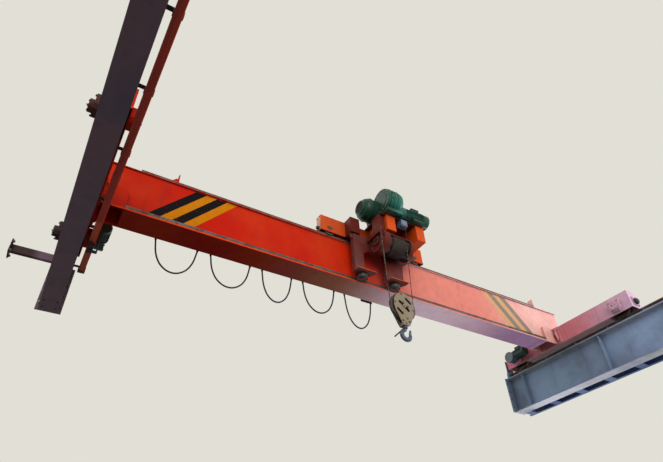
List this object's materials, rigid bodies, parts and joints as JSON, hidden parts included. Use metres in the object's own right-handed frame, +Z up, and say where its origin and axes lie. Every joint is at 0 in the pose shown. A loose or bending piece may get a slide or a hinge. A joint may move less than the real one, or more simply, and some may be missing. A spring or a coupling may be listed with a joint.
{
  "type": "single-girder overhead bridge crane with side-hung trolley",
  "caption": "Overhead travelling crane: a box girder on end trucks that run on runway beams, with a side-hung hoist trolley and a hook block.",
  "frame": {"origin": "middle of the underside of the left runway beam's bottom flange", "axes": "+X across the span to the right beam, +Y along the runway to the far end, +Z up"},
  "size_m": [8.297, 6, 2.475],
  "materials": {
    "runway_paint": "weathered dark paint",
    "rail_steel": "rusty rolled steel",
    "conductor_cover": "dusty",
    "black_plastic": "matt",
    "girder_paint": "semi-gloss",
    "rubber": "matt",
    "motor_green": "gloss",
    "wheel_steel": "worn",
    "trolley_paint": "semi-gloss",
    "cover_paint": "semi-gloss",
    "box_grey": "semi-gloss",
    "block_paint": "dusty",
    "rope_steel": "greased wire",
    "hook_steel": "forged",
    "cable_rubber": "matt"
  },
  "bodies": {
    "runway": {"runway_beam_left": "runway_paint", "runway_beam_right": "runway_paint", "crane_rails": "rail_steel", "end_stops": "runway_paint", "side_channel": "runway_paint", "wall_tie": "runway_paint", "conductor_bar": "conductor_cover", "conductor_hangers": "black_plastic"},
    "bridge": {"girder_bottom_flange": "girder_paint", "girder_top_flange": "girder_paint", "girder_webs": "girder_paint", "girder_ends": "girder_paint", "guide_bar": "rail_steel", "top_rail": "rail_steel", "trolley_stops": "girder_paint", "truck_brackets": "girder_paint", "end_truck_left": "girder_paint", "end_truck_right": "girder_paint", "axle_boxes": "girder_paint", "truck_buffers": "rubber", "travel_drives": "motor_green", "collector_arm": "black_plastic", "festoon_track": "rail_steel", "loop_1": "cable_rubber", "loop_2": "cable_rubber", "loop_3": "cable_rubber", "loop_4": "cable_rubber", "loop_5": "cable_rubber"},
    "wheel_left_near": {"wheel_left_near": "wheel_steel"},
    "wheel_left_far": {"wheel_left_far": "wheel_steel"},
    "wheel_right_near": {"wheel_right_near": "wheel_steel"},
    "wheel_right_far": {"wheel_right_far": "wheel_steel"},
    "trolley": {"crossbeams": "cover_paint", "hanging_panel": "trolley_paint", "motor_platform": "trolley_paint", "drum_cover": "trolley_paint", "gear_case": "trolley_paint", "hoist_motor": "motor_green", "hoist_gearbox": "motor_green", "trolley_motor": "motor_green", "terminal_box": "box_grey", "rope_anchor": "trolley_paint", "tow_arm": "wheel_steel", "hoist_ropes": "rope_steel"},
    "drum": {"rope_drum": "wheel_steel"},
    "trolley_wheel_left": {"trolley_wheel_left": "wheel_steel"},
    "trolley_wheel_right": {"trolley_wheel_right": "wheel_steel"},
    "guide_roller_left": {"guide_roller_left": "wheel_steel"},
    "guide_roller_right": {"guide_roller_right": "wheel_steel"},
    "hook_block": {"block_cheeks": "block_paint", "block_crosshead": "block_paint", "sheave_rope": "rope_steel"},
    "sheave": {"sheave": "wheel_steel"},
    "hook": {"hook": "hook_steel", "hook_lever": "hook_steel"},
    "carrier_1": {"carrier_1": "black_plastic"},
    "carrier_2": {"carrier_2": "black_plastic"},
    "carrier_3": {"carrier_3": "black_plastic"},
    "carrier_4": {"carrier_4": "black_plastic"}
  },
  "joints": [
    {"name": "bridge_travel", "type": "slide", "parent": "runway", "child": "bridge", "axis": [0, 1, 0], "range_m": [-3.2, 0]},
    {"name": "wheel_left_near_roll", "type": "hinge", "parent": "bridge", "child": "wheel_left_near", "pos_m": [0, 0.63, 0.8253], "axis": [1, 0, 0], "range_deg": [0, 1359.12]},
    {"name": "wheel_left_far_roll", "type": "hinge", "parent": "bridge", "child": "wheel_left_far", "pos_m": [0, 2.63, 0.8253], "axis": [1, 0, 0], "range_deg": [0, 1359.12]},
    {"name": "wheel_right_near_roll", "type": "hinge", "parent": "bridge", "child": "wheel_right_near", "pos_m": [7.5, 0.63, 0.8253], "axis": [1, 0, 0], "range_deg": [0, 1359.12]},
    {"name": "wheel_right_far_roll", "type": "hinge", "parent": "bridge", "child": "wheel_right_far", "pos_m": [7.5, 2.63, 0.8253], "axis": [1, 0, 0], "range_deg": [0, 1359.12]},
    {"name": "trolley_travel", "type": "slide", "parent": "bridge", "child": "trolley", "axis": [1, 0, 0], "range_m": [-1.9, 2.4], "deforming": ["loop_1", "loop_2", "loop_3", "loop_4", "loop_5"]},
    {"name": "trolley_wheel_left_roll", "type": "hinge", "parent": "trolley", "child": "trolley_wheel_left", "pos_m": [3.002, 1.811, 1.4783], "axis": [0, 1, 0], "range_deg": [-1452.49, 1834.46]},
    {"name": "trolley_wheel_right_roll", "type": "hinge", "parent": "trolley", "child": "trolley_wheel_right", "pos_m": [4.492, 1.811, 1.4783], "axis": [0, 1, 0], "range_deg": [-1452.49, 1834.46]},
    {"name": "guide_roller_left_roll", "type": "hinge", "parent": "trolley", "child": "guide_roller_left", "pos_m": [3.4305, 1.6917, 0.768], "axis": [0, 0, 1], "range_deg": [-1452.49, 1834.46]},
    {"name": "guide_roller_right_roll", "type": "hinge", "parent": "trolley", "child": "guide_roller_right", "pos_m": [3.9655, 1.6917, 0.768], "axis": [0, 0, 1], "range_deg": [-1452.49, 1834.46]},
    {"name": "carrier_1_slide", "type": "slide", "parent": "bridge", "child": "carrier_1", "axis": [1, 0, 0], "range_m": [-0.382, 0.482]},
    {"name": "carrier_2_slide", "type": "slide", "parent": "bridge", "child": "carrier_2", "axis": [1, 0, 0], "range_m": [-0.762, 0.962]},
    {"name": "carrier_3_slide", "type": "slide", "parent": "bridge", "child": "carrier_3", "axis": [1, 0, 0], "range_m": [-1.142, 1.442]},
    {"name": "carrier_4_slide", "type": "slide", "parent": "bridge", "child": "carrier_4", "axis": [1, 0, 0], "range_m": [-1.522, 1.922]},
    {"name": "hook_lift", "type": "slide", "parent": "trolley", "child": "hook_block", "axis": [0, 0, 1], "range_m": [-4.2, 0.5], "deforming": ["hoist_ropes"]},
    {"name": "drum_turn", "type": "hinge", "parent": "trolley", "child": "drum", "pos_m": [3.808, 1.45, 1.255], "axis": [1, 0, 0], "range_deg": [-382.97, 3209.56]},
    {"name": "sheave_turn", "type": "hinge", "parent": "hook_block", "child": "sheave", "pos_m": [3.698, 1.3, 0.165], "axis": [0, 1, 0], "range_deg": [-162.85, 1360.56]},
    {"name": "hook_swivel", "type": "hinge", "parent": "hook_block", "child": "hook", "pos_m": [3.698, 1.3, -0.072], "axis": [0, 0, 1], "continuous": true}
  ],
  "couplings": [
    {"joint": "wheel_left_near_roll", "follows": "bridge_travel", "rad_per_m": -7.4074},
    {"joint": "wheel_left_far_roll", "follows": "bridge_travel", "rad_per_m": -7.4074},
    {"joint": "wheel_right_near_roll", "follows": "bridge_travel", "rad_per_m": -7.4074},
    {"joint": "wheel_right_far_roll", "follows": "bridge_travel", "rad_per_m": -7.4074},
    {"joint": "trolley_wheel_left_roll", "follows": "trolley_travel", "rad_per_m": 13.333},
    {"joint": "trolley_wheel_right_roll", "follows": "trolley_travel", "rad_per_m": 13.333},
    {"joint": "guide_roller_left_roll", "follows": "trolley_travel", "rad_per_m": 13.333},
    {"joint": "guide_roller_right_roll", "follows": "trolley_travel", "rad_per_m": 13.333},
    {"joint": "carrier_1_slide", "follows": "trolley_travel", "ratio": 0.2},
    {"joint": "carrier_2_slide", "follows": "trolley_travel", "ratio": 0.4},
    {"joint": "carrier_3_slide", "follows": "trolley_travel", "ratio": 0.6},
    {"joint": "carrier_4_slide", "follows": "trolley_travel", "ratio": 0.8},
    {"joint": "drum_turn", "follows": "hook_lift", "rad_per_m": -13.333},
    {"joint": "sheave_turn", "follows": "hook_lift", "rad_per_m": -5.6497}
  ]
}
